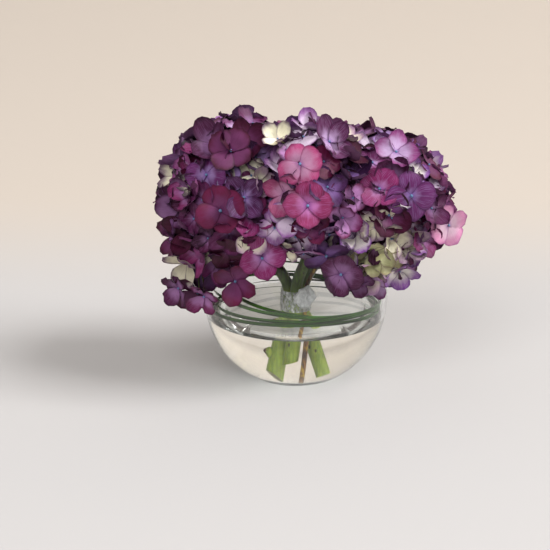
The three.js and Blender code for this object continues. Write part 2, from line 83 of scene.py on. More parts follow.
HEADS = (
    {
        "name": "left",
        "centre": (-46, 0, 22),
        "radii": (64, 69, 74),
        "crown": (-38, 0, 16),
        "lean": (-0.42, 0, 0.9),
        "lowest": -44,
    },
    {
        "name": "middle",
        "centre": (12, -22, 38),
        "radii": (54, 58, 62),
        "crown": (13, -23, 28),
        "lean": (0, -0.3, 0.95),
        "lowest": -10,
    },
    {
        "name": "right",
        "centre": (64, 4, 16),
        "radii": (64, 66, 68),
        "crown": (48, 3, 12),
        "lean": (0.45, 0, 0.9),
        "lowest": -44,
    },
)
# On the right the florets stop higher the further out they are: where that starts, and the slope.
RIGHT_SIDE_FROM = 58 * MM
RIGHT_SIDE_SLOPE = 0.85

# Sepal colours: the rim, and the zone between the bead and the rim.
TINTS = {
    "dark wine": ("330a28", "46274c"),
    "wine": ("4a0c2b", "602b52"),
    "plum": ("501840", "825a84"),
    "magenta": ("6e1c4e", "a270a2"),
    "mauve": ("743264", "b092b8"),
    "rose": ("8e2c5c", "a8649c"),
    "pink": ("943864", "b680a2"),
    "light pink": ("a86c8c", "c8a6b8"),
    "violet": ("38133c", "6a4a7e"),
    "purple": ("5c2258", "8e72a4"),
    "lilac": ("804e86", "ccb8ce"),
    "cream": ("a98aa0", "e6e0c6"),
    "pale green": ("c3c28e", "dcdcae"),
    "white violet": ("8a50a0", "ece6de"),
}

# The florets that stand out at the front: head, across and above the mouth, radius, spin, how far they
# stand out, shape and tint.
FRONT_FLORETS = (
    (0, -41, 90, 19, 20, 2, "cupped", "wine"),
    (0, -70, 88, 18, 50, 2, "cupped", "plum"),
    (0, -53, 81, 20, 60, 3, "open", "wine"),
    (0, -74, 64, 19, 5, 0, "open", "purple"),
    (0, -42, 49, 19, 40, 2, "wavy", "purple"),
    (0, -61, 38, 21, 25, 4, "open", "wine"),
    (0, -35, 33, 19, 70, 0, "wavy", "magenta"),
    (0, -100, 34, 18, 15, 0, "cupped", "plum"),
    (0, -28, -3, 20, 10, 4, "open", "magenta"),
    (0, -84, -49, 20, 30, 0, "wavy", "wine"),
    (0, -50, -34, 18, 65, 0, "wavy", "wine"),
    (0, -98, -26, 17, 50, 0, "young", "cream"),
    (1, 3, 77, 19, 35, 5, "open", "pink"),
    (1, -12, 54, 18, 70, 0, "wavy", "pink"),
    (1, 9, 47, 20, 0, 6, "open", "rose"),
    (1, 26, 61, 17, 20, 0, "wavy", "violet"),
    (1, 28, 95, 17, 30, 3, "cupped", "mauve"),
    (1, -21, 100, 13, 60, -2, "young", "cream"),
    (1, 24, 0, 20, 50, 3, "open", "violet"),
    (2, 41, 67, 19, 15, 2, "open", "mauve"),
    (2, 67, 53, 18, 45, 0, "open", "magenta"),
    (2, 92, 45, 21, 5, 5, "open", "purple"),
    (2, 82, 78, 18, 70, 2, "wavy", "mauve"),
    (2, 78, 62, 17, 35, 0, "cupped", "plum"),
    (2, 77, 31, 18, 65, 0, "cupped", "wine"),
    (2, 46, 15, 15, 30, 1, "cupped", "white violet"),
    (2, 37, -5, 15, 60, 1, "cupped", "white violet"),
    (2, 61, -5, 16, 80, 1, "young", "pale green"),
    (2, 57, -25, 15, 20, 1, "young", "cream"),
    (2, 96, 3, 16, 40, 0, "young", "cream"),
    (2, 108, 5, 16, 10, 0, "wavy", "magenta"),
    (2, 122, 13, 18, 20, 6, "open", "light pink"),
    (2, 114, 30, 16, 35, 0, "wavy", "plum"),
    (2, 116, 2, 14, 60, -2, "cupped", "plum"),
    (2, 35, -29, 19, 75, 0, "open", "plum"),
    (2, 62, -40, 14, 40, 0, "cupped", "mauve"),
    (2, 48, -38, 15, 10, -2, "wavy", "plum"),
    (0, -78, -52, 16, 20, 0, "wavy", "magenta"),
    (0, -100, -44, 15, 60, 0, "wavy", "plum"),
    (2, 86, -24, 15, 15, 4, "cupped", "white violet"),
)

# Which tints the other florets of each head take.
HEAD_TINTS = (
    ("wine", "plum", "dark wine", "magenta", "dark wine", "purple", "mauve", "cream", "lilac", "magenta"),
    ("magenta", "plum", "mauve", "violet", "lilac", "wine", "rose", "cream", "purple", "magenta"),
    ("purple", "plum", "mauve", "magenta", "wine", "wine", "lilac", "white violet", "plum", "magenta"),
)
PALE_TINTS = ("cream", "pale green", "white violet")
SHAPES = ("open", "wavy", "cupped", "open", "wavy", "young")

# ------------------------------------------------------------------ stems, twig and grass

STEMS = (
    {
        "node": "left_head_stem",
        "head": 0,
        "bound": (-1.375, 0.5),
        "foot": (-13, 1.5, 11),
        "cut": (0.6, 0.1, 0.8),
        "swell": 1.18,
        "scar": (-15.8, 0, 25),
    },
    {
        "node": "middle_head_stem",
        "head": 1,
        "bound": (0.04, -1.25),
        "foot": (-4, -9, 19.5),
        "cut": (-0.25, 0, 1),
        "swell": 1.0,
    },
    {
        "node": "right_head_stem",
        "head": 2,
        "bound": (1.31, 0.58),
        "foot": (18, -2, 11),
        "cut": (-0.35, 0, 1),
        "swell": 0.95,
    },
)
TWIG = {"bound": (1.6, -1.44), "foot": (3, -19, 3), "top": (17, -6, 42), "cut": (1, 0, 0.8)}

BLADES = (
    {"middle": (0, 5), "radii": (71, 57), "height": 2.9, "start": 150, "run": 330, "rise": (0, -3)},
    {"middle": (2, 3), "radii": (68, 60), "height": 8.2, "start": 185, "run": 300, "rise": (0.5, -2.5)},
    {"middle": (0, 0), "radii": (70, 64), "height": 13.5, "start": 255, "run": 320, "rise": (-5, -4)},
    {"middle": (6, -11), "radii": (60, 54), "height": 18.8, "start": 160, "run": 340, "rise": (-7, 0)},
    {"middle": (0, 0), "radii": (71, 71), "height": 19.6, "start": 195, "run": 300, "rise": (-6.5, -1)},
)


# ------------------------------------------------------------------ settings that a user would change


class FlowerSettings(bpy.types.PropertyGroup):
    outer_pitch: FloatProperty(
        name="Outer pitch",
        description="Distance between the florets of the outer layer",
        default=20.5 * MM,
        unit="LENGTH",
    )
    inner_pitch: FloatProperty(
        name="Inner pitch",
        description="Distance between the florets of the inner layer",
        default=19.5 * MM,
        unit="LENGTH",
    )
    inner_depth: FloatProperty(
        name="Inner depth",
        description="How far the inner layer lies under the outer one",
        default=10 * MM,
        unit="LENGTH",
    )
    floret_radius: FloatProperty(
        name="Floret radius",
        description="From a floret's bead to the tip of a sepal",
        default=15.5 * MM,
        unit="LENGTH",
    )
    off_bowl: FloatProperty(
        name="Off the bowl",
        description="From the glass to the middle of a floret that hangs beside it",
        default=10 * MM,
        unit="LENGTH",
    )


class StemSettings(bpy.types.PropertyGroup):
    stem_radius: FloatProperty(
        name="Stem radius", description="Half the thickness of a stem", default=4.8 * MM, unit="LENGTH"
    )
    ray_radius: FloatProperty(
        name="Ray radius", description="Half the thickness of a ray", default=1.3 * MM, unit="LENGTH"
    )
    twig_radius: FloatProperty(
        name="Twig radius", description="Half the thickness of the twig", default=1.65 * MM, unit="LENGTH"
    )
    blade_width: FloatProperty(
        name="Blade width", description="Width of a grass blade", default=3.1 * MM, unit="LENGTH"
    )


class BowlSettings(bpy.types.PropertyGroup):
    wall: FloatProperty(
        name="Wall", description="Thickness of the glass", default=3 * MM, unit="LENGTH"
    )
    segments: IntProperty(
        name="Segments", description="Facets round the bowl", default=128, min=12, max=256
    )


class StageSettings(bpy.types.PropertyGroup):
    floor_colour: FloatVectorProperty(
        name="Floor colour", description="Colour of the floor", subtype="COLOR", default=(0.47, 0.455, 0.45)
    )
    sweep_colour: FloatVectorProperty(
        name="Sweep colour",
        description="Colour of the floor behind the bowl",
        subtype="COLOR",
        default=(0.52, 0.46, 0.403),
    )
    wall_colour: FloatVectorProperty(
        name="Wall colour", description="Colour of the backdrop", subtype="COLOR", default=(0.82, 0.74, 0.65)
    )
    key_power: FloatProperty(name="Key power", description="Strength of the main light", default=510.0)
    fill_power: FloatProperty(name="Fill power", description="Strength of the front light", default=85.0)
    ambient: FloatProperty(name="Ambient", description="Strength of the light from all around", default=0.6)


SETTINGS = {
    "flower_settings": FlowerSettings,
    "stem_settings": StemSettings,
    "bowl_settings": BowlSettings,
    "stage_settings": StageSettings,
}

# ------------------------------------------------------------------ small helpers


def vary(item, trait):
    """A repeatable fraction from 0 to 1 for an item and one of its traits."""
    wave = math.sin(item * 12.9898 + trait * 78.233) * 43758.5453
    return wave - math.floor(wave)


def linear(code):
    """A hex colour as linear red, green and blue."""
    shares = [int(code[k : k + 2], 16) / 255 for k in (0, 2, 4)]
    return [c / 12.92 if c < 0.04045 else ((c + 0.055) / 1.055) ** 2.4 for c in shares]


def above_mouth(place):
    x, y, z = (value * MM for value in place)
    return Vector((x, y, MOUTH_Z + z))


def deselect_all():
    if bpy.context.mode != "OBJECT":
        bpy.ops.object.mode_set(mode="OBJECT")
    bpy.ops.object.select_all(action="DESELECT")


def make_active(piece):
    deselect_all()
    piece.select_set(True)
    bpy.context.view_layer.objects.active = piece


def edit(piece):
    make_active(piece)
    bpy.ops.object.mode_set(mode="EDIT")
    bpy.ops.mesh.select_mode(type="VERT")


def done_editing():
    bpy.ops.object.mode_set(mode="OBJECT")


def pick(piece, test):
    """Selects the vertices of the piece in edit mode whose place passes the test."""
    bpy.ops.mesh.select_all(action="DESELECT")
    shape = bmesh.from_edit_mesh(piece.data)
    for vert in shape.verts:
        vert.select_set(test(vert.co))
    shape.select_flush(True)
    bmesh.update_edit_mesh(piece.data)


def added(name):
    piece = bpy.context.active_object
    piece.name = name
    piece.data.name = name
    return piece


def apply_modifier(piece, kind, **values):
    make_active(piece)
    modifier = piece.modifiers.new(kind.title(), kind)
    for key, value in values.items():
        setattr(modifier, key, value)
    bpy.ops.object.modifier_apply(modifier=modifier.name)


def settle(piece):
    """Moves a piece's place, turn and size into its mesh."""
    make_active(piece)
    bpy.ops.object.transform_apply(location=True, rotation=True, scale=True)


def smooth(piece, degrees=40):
    make_active(piece)
    bpy.ops.object.shade_smooth_by_angle(angle=math.radians(degrees))


def give_material(piece, *materials):
    piece.data.materials.clear()
    for material in materials:
        piece.data.materials.append(material)


def hand_over(piece, slot, *nodes):
    """Lets a finished piece ride on the object and stand for its CAD nodes."""
    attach(piece, "root")
    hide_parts(*nodes)


def join(pieces, name):
    deselect_all()
    for piece in pieces:
        piece.select_set(True)
    bpy.context.view_layer.objects.active = pieces[0]
    if len(pieces) > 1:
        bpy.ops.object.join()
    return added(name)


# ------------------------------------------------------------------ shader helpers


def node(tree, kind, **values):
    made = tree.nodes.new(kind)
    for key, value in values.items():
        setattr(made, key, value)
    return made


def set_inputs(made, **values):
    for key, value in values.items():
        made.inputs[key.replace("_", " ")].default_value = value
    return made


def new_material(name, **values):
    """A Principled material, with the values set on its sockets."""
    material = bpy.data.materials.new(name)
    material.use_nodes = True
    principled = material.node_tree.nodes["Principled BSDF"]
    set_inputs(principled, **values)
    return material, material.node_tree, principled


def mix_colours(tree, factor, first, second, blend="MIX"):
    made = node(tree, "ShaderNodeMix", data_type="RGBA", blend_type=blend)
    plug(tree, made.inputs[0], factor)
    plug(tree, made.inputs[6], first)
    plug(tree, made.inputs[7], second)
    return made.outputs[2]


def plug(tree, socket, value):
    """Links a socket, or sets a plain value on it."""
    if isinstance(value, bpy.types.NodeSocket):
        tree.links.new(value, socket)
    elif isinstance(value, (int, float)):
        socket.default_value = value
    else:
        socket.default_value = (*value, 1.0) if len(value) == 3 else value


def maths(tree, operation, *values):
    made = node(tree, "ShaderNodeMath", operation=operation)
    for socket, value in zip(made.inputs, values):
        plug(tree, socket, value)
    return made.outputs[0]


def ramp(tree, value, low, high, out_low=0.0, out_high=1.0):
    made = node(tree, "ShaderNodeMapRange", interpolation_type="SMOOTHSTEP")
    plug(tree, made.inputs["Value"], value)
    for key, number in (("From Min", low), ("From Max", high), ("To Min", out_low), ("To Max", out_high)):
        made.inputs[key].default_value = number
    return made.outputs["Result"]


def noise(tree, vector, scale, detail=3.0, roughness=0.5):
    made = node(tree, "ShaderNodeTexNoise")
    tree.links.new(vector, made.inputs["Vector"])
    set_inputs(made, Scale=scale, Detail=detail, Roughness=roughness)
    return made.outputs["Fac"]


def stretched(tree, vector, scale):
    made = node(tree, "ShaderNodeMapping")
    tree.links.new(vector, made.inputs["Vector"])
    made.inputs["Scale"].default_value = scale
    return made.outputs["Vector"]


def bump(tree, principled, height, strength, distance):
    made = node(tree, "ShaderNodeBump")
    tree.links.new(height, made.inputs["Height"])
    set_inputs(made, Strength=strength, Distance=distance)
    tree.links.new(made.outputs["Normal"], principled.inputs["Normal"])


def object_coordinates(tree):
    return node(tree, "ShaderNodeTexCoord").outputs["Object"]


def mottle_group():
    """Makes the group that drifts a colour lighter and darker over a plant's skin."""
    name = "Plant mottle"
    if name in bpy.data.node_groups:
        return bpy.data.node_groups[name]
    group = bpy.data.node_groups.new(name, "ShaderNodeTree")
    for label, kind, default in (
        ("Colour", "NodeSocketColor", (0.5, 0.5, 0.5, 1)),
        ("Vector", "NodeSocketVector", None),
        ("Scale", "NodeSocketFloat", 60.0),
        ("Amount", "NodeSocketFloat", 0.3),
    ):
        socket = group.interface.new_socket(label, in_out="INPUT", socket_type=kind)
        if default is not None:
            socket.default_value = default
    group.interface.new_socket("Colour", in_out="OUTPUT", socket_type="NodeSocketColor")
    given = group.nodes.new("NodeGroupInput")
    result = group.nodes.new("NodeGroupOutput")
    grain = node(group, "ShaderNodeTexNoise")
    set_inputs(grain, Detail=3.0)
    group.links.new(given.outputs["Vector"], grain.inputs["Vector"])
    group.links.new(given.outputs["Scale"], grain.inputs["Scale"])
    centred = maths(group, "SUBTRACT", grain.outputs["Fac"], 0.5)
    swing = maths(group, "MULTIPLY", centred, given.outputs["Amount"])
    doubled = maths(group, "MULTIPLY", swing, 3.0)
    level = maths(group, "ADD", doubled, 1.0)
    scaled = node(group, "ShaderNodeVectorMath", operation="SCALE")
    group.links.new(given.outputs["Colour"], scaled.inputs[0])
    group.links.new(level, scaled.inputs["Scale"])
    group.links.new(scaled.outputs["Vector"], result.inputs["Colour"])
    return group


def mottled(tree, colour, vector, scale, amount):
    made = node(tree, "ShaderNodeGroup")
    made.node_tree = mottle_group()
    plug(tree, made.inputs["Colour"], colour)
    tree.links.new(vector, made.inputs["Vector"])
    set_inputs(made, Scale=scale, Amount=amount)
    return made.outputs["Colour"]


# ------------------------------------------------------------------ materials


def sepal_material():
    """Velvety sepal: fine veins, a pale zone towards the bead, a darker rim and a paler back."""
    material, tree, principled = new_material("Hydrangea sepal", Roughness=0.5, Specular_IOR_Level=0.3)
    place = node(tree, "ShaderNodeUVMap", uv_map="UVMap").outputs["UV"]
    split = node(tree, "ShaderNodeSeparateXYZ")
    tree.links.new(place, split.inputs[0])
    across, along = split.outputs["X"], split.outputs["Y"]
    tint = node(tree, "ShaderNodeAttribute", attribute_name="tint").outputs["Color"]
    throat = node(tree, "ShaderNodeAttribute", attribute_name="throat")
    pale, reach = throat.outputs["Color"], throat.outputs["Alpha"]
    space = object_coordinates(tree)

    from_middle = maths(tree, "ABSOLUTE", maths(tree, "SUBTRACT", across, 0.5))
    lines = noise(tree, stretched(tree, place, (24.0, 1.3, 1.0)), 1.0, 3.0, 0.55)
    blotches = noise(tree, space, 140.0, 2.0)
    brighter = mix_colours(tree, 0.4, tint, pale)
    veined = mix_colours(tree, ramp(tree, lines, 0.48, 0.62), tint, brighter)
    ragged = maths(tree, "MULTIPLY_ADD", blotches, 0.5, along)
    spread = maths(tree, "MULTIPLY_ADD", from_middle, 0.5, ragged)
    beyond = maths(tree, "SUBTRACT", spread, reach)
    lit = mix_colours(tree, ramp(tree, beyond, 0.05, 0.55, 1.0, 0.0), veined, pale)
    streaked = mix_colours(tree, ramp(tree, lines, 0.56, 0.66, 0.0, 0.35), lit, tint)
    base = mix_colours(tree, 1.0, pale, (0.55, 0.4, 0.75), "MULTIPLY")
    based = mix_colours(tree, ramp(tree, along, 0.03, 0.2, 0.55, 0.0), streaked, base)
    rim = maths(tree, "MAXIMUM", ramp(tree, along, 0.8, 1.0), ramp(tree, from_middle, 0.38, 0.5))
    darker = mix_colours(tree, 1.0, tint, (0.5, 0.38, 0.55), "MULTIPLY")
    rimmed = mix_colours(tree, maths(tree, "MULTIPLY", rim, 0.8), based, darker)
    drifting = mottled(tree, rimmed, space, 55.0, 0.35)
    back = node(tree, "ShaderNodeNewGeometry").outputs["Backfacing"]
    paler = mix_colours(tree, 0.2, drifting, (0.42, 0.22, 0.42))
    tree.links.new(mix_colours(tree, back, drifting, paler), principled.inputs["Base Color"])
    tree.links.new(ramp(tree, lines, 0.3, 0.7, 0.45, 0.62), principled.inputs["Roughness"])
    bump(tree, principled, lines, 0.35, 0.0005)
    return material


def bead_material():
    """The bead in the middle of a floret: powdery blue."""
    material, tree, principled = new_material("Floret bead", Roughness=0.6)
    space = object_coordinates(tree)
    tree.links.new(mottled(tree, linear("5f7ba0"), space, 400.0, 0.5), principled.inputs["Base Color"])
    return material


def pedicel_material():
    material, tree, principled = new_material("Floret stalk", Roughness=0.5, Subsurface_Weight=0.1)
    space = object_coordinates(tree)
    patches = ramp(tree, noise(tree, space, 60.0), 0.35, 0.65)
    colour = mix_colours(tree, patches, linear("5d6a35"), linear("5a2a45"))
    tree.links.new(mottled(tree, colour, space, 300.0, 0.3), principled.inputs["Base Color"])
    return material


def stem_material():
    """Fresh green stem with small dark pores and fine ribs along it. Painted light makes it bright below the
    waterline, and painted shade makes it darker towards the flowers.
    """
    material, tree, principled = new_material(
        "Fresh green stem", Roughness=0.38, Subsurface_Weight=0.2, Subsurface_Scale=0.004
    )
    space = object_coordinates(tree)
    height = node(tree, "ShaderNodeSeparateXYZ")
    tree.links.new(space, height.inputs[0])
    # Painted light and shade: the bright lime below the waterline stands for light reaching the stem through
    # the water, and the dark olive above it stands for the shade under the flowers.
    up = ramp(tree, height.outputs["Z"], WATER_Z, WATER_Z + 0.03)
    colour = mix_colours(tree, up, linear("a0b432"), linear("4a5a22"))
    ribs = noise(tree, stretched(tree, space, (700.0, 700.0, 25.0)), 1.0, 2.0)
    raised = ramp(tree, ribs, 0.4, 0.65)
    ribbed = mix_colours(tree, raised, colour, mix_colours(tree, 0.5, colour, linear("61841c")))
    pores = node(tree, "ShaderNodeTexVoronoi", feature="F1")
    tree.links.new(stretched(tree, space, (1.0, 1.0, 0.62)), pores.inputs["Vector"])
    set_inputs(pores, Scale=150.0, Randomness=1.0)
    dots = ramp(tree, pores.outputs["Distance"], 0.1, 0.16, 1.0, 0.0)
    speckled = mix_colours(tree, maths(tree, "MULTIPLY", dots, 0.85), ribbed, linear("3b3213"))
    tree.links.new(mottled(tree, speckled, space, 110.0, 0.5), principled.inputs["Base Color"])
    bump(tree, principled, ribs, 0.35, 0.0004)
    return material


def cut_material():
    """The moist pale end of a cut stem."""
    material, tree, principled = new_material("Cut stem end", Roughness=0.35, Subsurface_Weight=0.2)
    space = object_coordinates(tree)
    pith = noise(tree, space, 500.0)
    colour = mix_colours(tree, ramp(tree, pith, 0.4, 0.6), linear("cdd68f"), linear("9fb552"))
    tree.links.new(colour, principled.inputs["Base Color"])
    bump(tree, principled, pith, 0.4, 0.0003)
    return material


def twig_material():
    material, tree, principled = new_material("Woody twig", Roughness=0.65)
    space = object_coordinates(tree)
    streaks = noise(tree, stretched(tree, space, (500.0, 500.0, 60.0)), 1.0, 4.0)
    bark = mix_colours(tree, ramp(tree, streaks, 0.35, 0.65), linear("4a2c16"), linear("8d6228"))
    patches = ramp(tree, noise(tree, stretched(tree, space, (90.0, 90.0, 60.0)), 1.0), 0.55, 0.62)
    tree.links.new(mix_colours(tree, patches, bark, linear("b9932c")), principled.inputs["Base Color"])
    bump(tree, principled, streaks, 0.6, 0.0004)
    return material


def blade_material():
    """Waxy grass leaf with lengthwise veins."""
    material, tree, principled = new_material("Grass blade", Roughness=0.5, Specular_IOR_Level=0.15)
    space = object_coordinates(tree)
    lines = noise(tree, stretched(tree, space, (9.0, 9.0, 1500.0)), 1.0, 2.0)
    colour = mix_colours(tree, ramp(tree, lines, 0.35, 0.65), linear("081d01"), linear("336208"))
    tree.links.new(mottled(tree, colour, space, 30.0, 0.45), principled.inputs["Base Color"])
    bump(tree, principled, lines, 0.3, 0.0003)
    return material


def let_light_through(tree, principled, tint):
    """Lets shadow rays straight through, so that what stands inside is lit."""
    clear = node(tree, "ShaderNodeBsdfTransparent")
    clear.inputs["Color"].default_value = tint
    ray = node(tree, "ShaderNodeLightPath")
    mixed = node(tree, "ShaderNodeMixShader")
    tree.links.new(ray.outputs["Is Shadow Ray"], mixed.inputs[0])
    tree.links.new(principled.outputs[0], mixed.inputs[1])
    tree.links.new(clear.outputs[0], mixed.inputs[2])
    tree.links.new(mixed.outputs[0], tree.nodes["Material Output"].inputs["Surface"])


def glass_material():
    """Clear blown glass with a faint ripple."""
    material, tree, principled = new_material(
        "Clear glass", Base_Color=(0.99, 1, 0.995, 1), Roughness=0.0, IOR=1.47, Transmission_Weight=1.0
    )
    space = object_coordinates(tree)
    bump(tree, principled, noise(tree, space, 18.0, 1.0), 0.12, 0.001)
    let_light_through(tree, principled, (0.99, 1, 0.995, 1))
    return material


def water_material():
    material, tree, principled = new_material(
        "Still water", Base_Color=(1, 1, 0.99, 1), Roughness=0.0, IOR=1.33, Transmission_Weight=1.0
    )
    space = object_coordinates(tree)
    bump(tree, principled, noise(tree, space, 12.0, 1.0), 0.05, 0.001)
    let_light_through(tree, principled, (1, 1, 0.99, 1))
    return material


def film_material(name, clearest, densest):
    """Crinkled clear film: see-through between whitish folds. On the gathered knot the dense white is partly
    real layering and partly painted highlight.
    """
    material, tree, principled = new_material(name, Base_Color=(1, 1, 1, 1), Roughness=0.15)
    space = object_coordinates(tree)
    folds = noise(tree, stretched(tree, space, (260.0, 260.0, 130.0)), 1.0, 6.0, 0.7)
    tree.links.new(ramp(tree, folds, 0.42, 0.62, clearest, densest), principled.inputs["Alpha"])
    bump(tree, principled, folds, 1.0, 0.002)
    return material


# ------------------------------------------------------------------ flower heads: where things go


def rotated(vector, axis, degrees):
    return Matrix.Rotation(math.radians(degrees), 3, axis) @ vector


def square_to(vector):
    aside = Vector((0, 0, 1)) if abs(vector.z) < 0.9 else Vector((1, 0, 0))
    return aside.cross(vector).normalized()


def depth_in(head, place, sink=0.0):
    """How far out a place is in a head: 1 is on the surface through the florets."""
    offset = place - head["middle"]
    return math.sqrt(sum((offset[k] / (head["half"][k] - sink)) ** 2 for k in range(3)))


def onto_head(head, place, sink=0.0):
    return head["middle"] + (place - head["middle"]) / depth_in(head, place, sink)


def normal_at(head, place):
    offset = place - head["middle"]
    return Vector([offset[k] / head["half"][k] ** 2 for k in range(3)]).normalized()


def off_the_bowl(place, margin):
    away = place - BOWL_CENTRE
    if away.length < BOWL_RADIUS + margin:
        return BOWL_CENTRE + away.normalized() * (BOWL_RADIUS + margin)
    return place


def before_the_bowl(place, way, margin):
    """Draws a place that is in the bowl out towards the front, until it is clear of the glass."""
    away = place - BOWL_CENTRE
    reach = BOWL_RADIUS + margin
    if away.length >= reach:
        return place
    along = away.dot(way)
    return place + way * (math.sqrt(along**2 + reach**2 - away.length_squared) - along)


def floor_under(head, place):
    """The lowest that a floret of the head may hang at a place."""
    return head["floor"] + RIGHT_SIDE_SLOPE * max(0.0, place.x - RIGHT_SIDE_FROM)


def measured_heads():
    heads = []
    for head in HEADS:
        made = dict(head)
        made["middle"] = above_mouth(head["centre"])
        made["half"] = Vector(head["radii"]) * MM
        made["fork"] = above_mouth(head["crown"])
        made["floor"] = MOUTH_Z + head["lowest"] * MM
        heads.append(made)
    return heads


def spread_over_heads(heads, pitch, sink, margin, fixed):
    """Places points on the joined surface of the heads, a pitch apart and clear of the fixed ones."""
    places = []
    for head in heads:
        lean = Vector(head["lean"]).normalized()
        side = square_to(lean)
        count = round(4 * math.pi * (sum(head["half"]) / 3) ** 2 / (pitch**2 * 0.87))
        for k in range(count):
            polar = math.degrees(math.acos(1 - 2 * (k + 0.5) / count))
            if polar > LOWEST_POLAR:
                continue
            way = rotated(rotated(lean, side, polar), lean, GOLDEN_ANGLE * k)
            place = off_the_bowl(onto_head(head, head["middle"] + way, sink), margin)
            others = [one for one in heads if one is not head]
            if place.z < floor_under(head, place) or any(depth_in(one, place, sink) < 0.96 for one in others):
                continue
            if any((place - one).length < pitch * 0.8 for one in fixed):
                continue
            places.append([head, place])
    for _ in range(RELAX_ROUNDS):
        relax(places, pitch, sink, margin, fixed)
    return places


def relax(places, pitch, sink, margin, fixed):
    """Pushes places that are nearer than a pitch apart, and brings them back to their heads' surfaces."""
    for i, (_, here) in enumerate(places):
        for j in range(i + 1, len(places)):
            apart = here - places[j][1]
            short = pitch - apart.length
            if short > 0:
                push = apart.normalized() * short * 0.3
                here += push
                places[j][1] -= push
        for there in fixed:
            apart = here - there
            short = pitch - apart.length
            if short > 0:
                here += apart.normalized() * short * 0.5
    for one in places:
        head, place = one
        place = onto_head(head, place, sink)
        place.z = max(place.z, floor_under(head, place))
        one[1] = off_the_bowl(place, margin)


def hub_of(middle, head):
    """Where a cluster's stalks meet its ray."""
    return off_the_bowl(middle.lerp(head["middle"], 0.25), 4 * MM)


def sunk(shape, radius):
    """How deep a floret's bead lies, for its sepals to end at the head's surface."""
    return 1.5 * MM + 0.75 * SHAPE_VALUES[shape][1] * radius


def front_places(heads, margin):
    """The florets that stand out at the front, as place, facing and the rest of their table row."""
    made = []
    eye = Vector((0, -0.944, 0.33))
    for k, (index, across, above, radius, spin, lift, shape, tint) in enumerate(FRONT_FLORETS):
        head = heads[index]
        x, z = across * MM, MOUTH_Z + above * MM
        flat = ((x - head["middle"].x) / head["half"].x) ** 2 + ((z - head["middle"].z) / head["half"].z) ** 2
        y = head["middle"].y - head["half"].y * math.sqrt(max(0.2, 1 - flat))
        place = before_the_bowl(Vector((x, y, z)), eye, margin)
        normal = normal_at(head, place)
        place += normal * (lift * MM - sunk(shape, radius * MM))
        normal = rotated(normal.lerp(eye, 0.35), square_to(normal), 24 * (vary(k, 31) - 0.5)).normalized()
        made.append((place, normal, radius * MM, spin, shape, tint))
    return made


# ------------------------------------------------------------------ florets

ROW_WIDTHS = (0.2, 0.58, 0.86, 1.0, 0.96, 0.74, 0.34)
SHAPE_VALUES = {
    # width over length, cup, how far the edges rise, how far the tip curls back, waviness
    "open": (1.14, 0.16, -0.03, 0.12, 0.05),
    "wavy": (1.0, 0.34, 0.12, -0.04, 0.12),
    "cupped": (1.12, 0.62, 0.2, -0.12, 0.06),
    "young": (1.02, 0.80, 0.26, -0.22, 0.07),
}
VARIANTS = 3


def add_sepal(name, width, cup, edge, curl, wave, seed):
    """One sepal a unit long, from a grid: its columns are lifted, then each row is narrowed and raised."""
    deselect_all()
    bpy.ops.mesh.primitive_grid_add(x_subdivisions=4, y_subdivisions=6, size=1, location=(0, 0, 0))
    piece = added(name)
    edit(piece)
    pick(piece, lambda co: abs(co.x) > 0.4)
    bpy.ops.transform.translate(value=(0, 0, edge))
    pick(piece, lambda co: 0.2 < abs(co.x) < 0.3)
    bpy.ops.transform.translate(value=(0, 0, edge * 0.25))
    for row, share in enumerate(ROW_WIDTHS):
        along = row / 6
        pick(piece, lambda co: abs(co.y - (along - 0.5)) < 0.01)
        lift = cup * along**1.6 - curl * max(0.0, along - 0.6) * 2
        bpy.ops.transform.resize(value=(share * width, 1, share), center_override=(0, along - 0.5, 0))
        bpy.ops.transform.translate(value=(0, 0, lift))
    pick(piece, lambda co: co.y > 0.45 and abs(co.x) < 0.01)
    bpy.ops.transform.translate(value=(0, 0.035, 0))
    pick(piece, lambda co: co.y > 0.45 and abs(co.x) > 0.1)
    bpy.ops.transform.translate(value=(0, -0.05, 0))
    for row in (2, 3, 4, 5):
        for side in (-1, 1):
            sway = wave * (vary(seed + row * 7, side + 5) - 0.5) * 2
            at = row / 6 - 0.5
            pick(piece, lambda co: abs(co.y - at) < 0.02 and side * co.x > 0.3 * width * ROW_WIDTHS[row])
            bpy.ops.transform.translate(value=(0, 0, sway))
    bpy.ops.mesh.select_all(action="SELECT")
    bpy.ops.transform.translate(value=(0, 0.5 + 0.04, 0))
    done_editing()
    return piece


